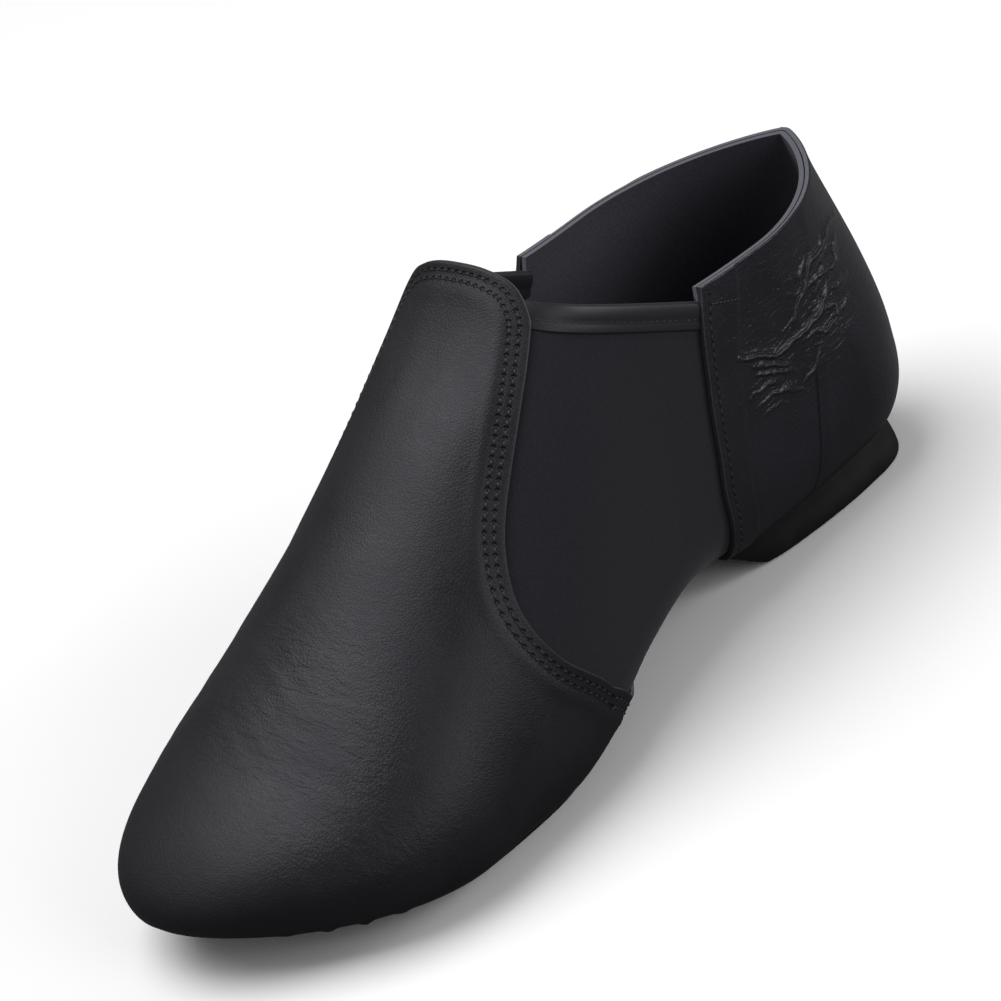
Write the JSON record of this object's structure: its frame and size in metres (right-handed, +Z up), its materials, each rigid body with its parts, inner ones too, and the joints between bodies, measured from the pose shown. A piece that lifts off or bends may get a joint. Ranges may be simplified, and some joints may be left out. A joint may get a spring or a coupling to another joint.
{
  "type": "jazz shoe",
  "caption": "Low slip-on jazz shoe for the left foot: smooth leather vamp and heel quarter, a stretch gore and arch between them, and rubber pads under forefoot and heel.",
  "frame": {"origin": "on the floor, under the middle of the heel's flat foot", "axes": "+Z up from the floor, -Y towards the toe, +X towards the outer (lateral) side of this left shoe"},
  "size_m": [0.0889, 0.2447, 0.1093],
  "materials": {
    "neoprene": "matte black stretch fabric",
    "leather": "soft satin black leather",
    "elastic": "black elastic tape with a slight sheen",
    "rubber": "matte black moulded rubber",
    "insole_cloth": "matte black cloth"
  },
  "bodies": {
    "root": {"upper": "neoprene", "vamp": "leather", "quarter": "leather", "insole": "insole_cloth", "forefoot_sole": "rubber", "heel": "rubber", "gore_binding_lateral": "elastic", "gore_binding_medial": "elastic"}
  },
  "joints": []
}
